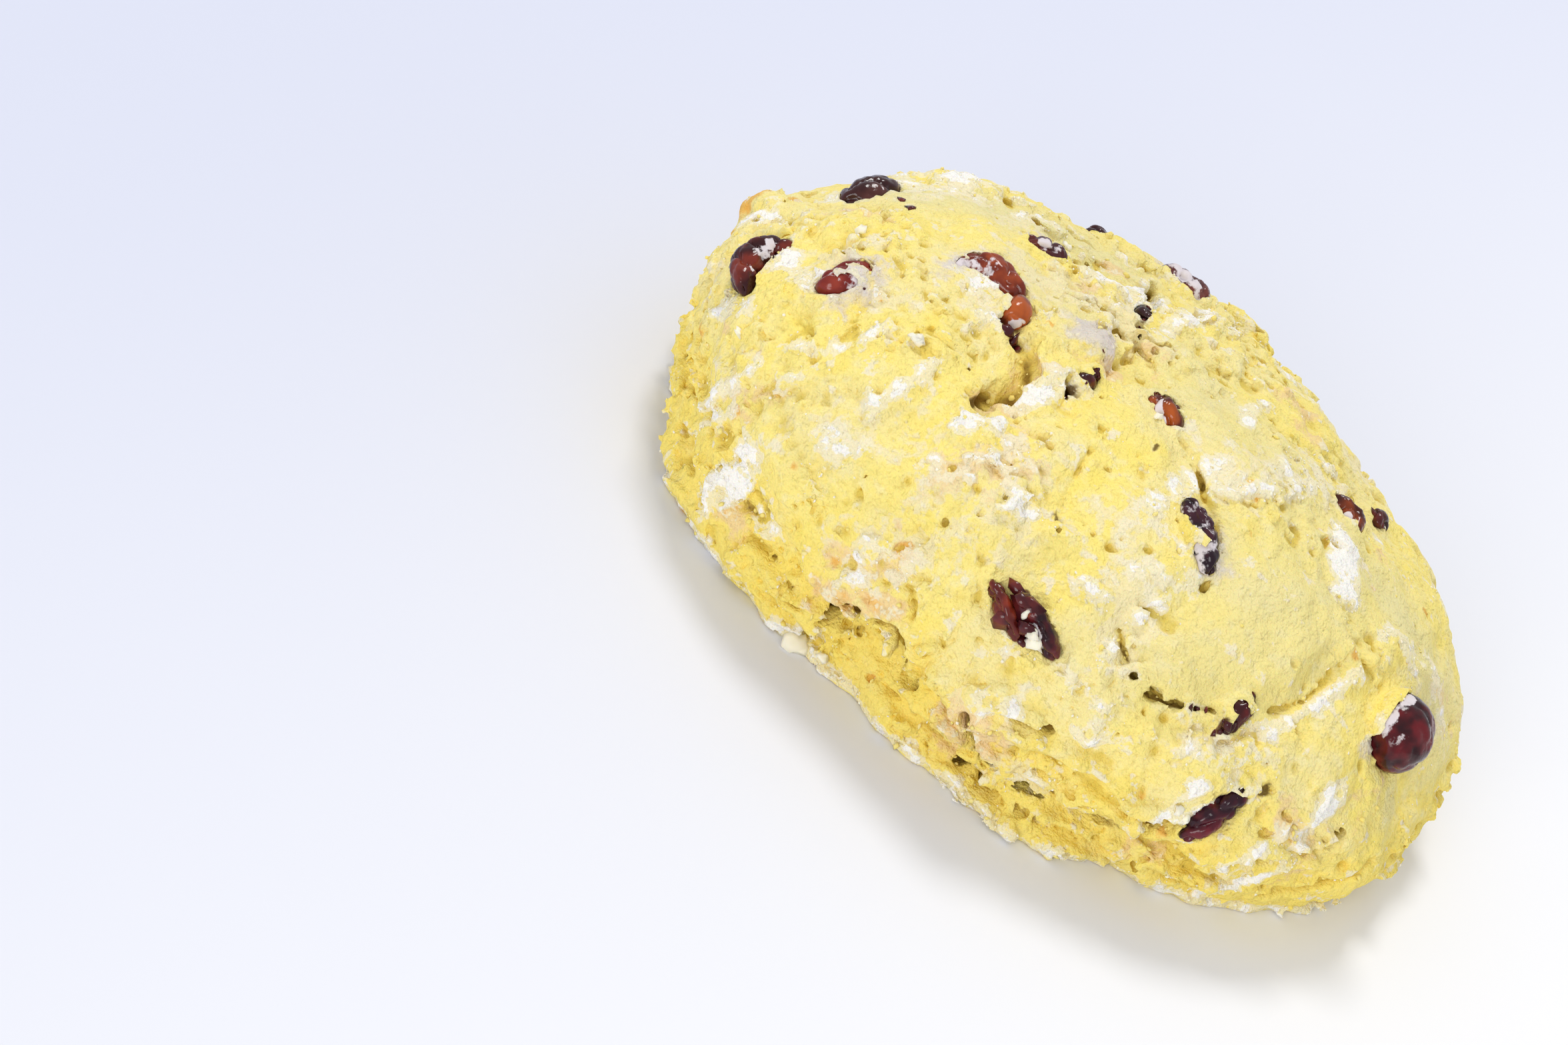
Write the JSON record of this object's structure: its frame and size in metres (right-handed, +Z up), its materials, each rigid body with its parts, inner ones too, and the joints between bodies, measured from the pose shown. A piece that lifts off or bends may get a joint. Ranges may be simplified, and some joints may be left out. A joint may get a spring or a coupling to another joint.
{
  "type": "scone",
  "caption": "Rustic free-form scone, an oval domed mound with a split floury crust, a flat base and dried cranberries bedded in its surface.",
  "frame": {"origin": "on the table under the middle of the scone's flat base", "axes": "+X along the long side of the oval, +Z up out of the crown, +Y to the back; the splits and the slumped lip face -Y"},
  "size_m": [0.1027, 0.0878, 0.0366],
  "materials": {
    "dough": "matt pale yellow crust with dusted flour",
    "cranberry": "sticky satin dark red skin with dusted flour"
  },
  "bodies": {
    "root": {"scone_body": "dough", "cranberry_top_left": "cranberry", "cranberry_left": "cranberry", "cranberry_left_inner": "cranberry", "cranberry_floury_arc": "cranberry", "cranberry_amber": "cranberry", "cranberry_top_sliver": "cranberry", "cranberry_top_edge": "cranberry", "cranberry_split_top": "cranberry", "cranberry_veiled": "cranberry", "cranberry_split_left": "cranberry", "cranberry_crown": "cranberry", "cranberry_split_front": "cranberry", "cranberry_hook": "cranberry", "cranberry_right_small": "cranberry", "cranberry_front_brown": "cranberry", "cranberry_front_dark": "cranberry", "cranberry_right": "cranberry", "cranberry_crescent": "cranberry", "cranberry_slot": "cranberry", "cranberry_back_right": "cranberry", "cranberry_back_low": "cranberry", "cranberry_back_high": "cranberry", "cranberry_back_left": "cranberry"}
  },
  "joints": []
}
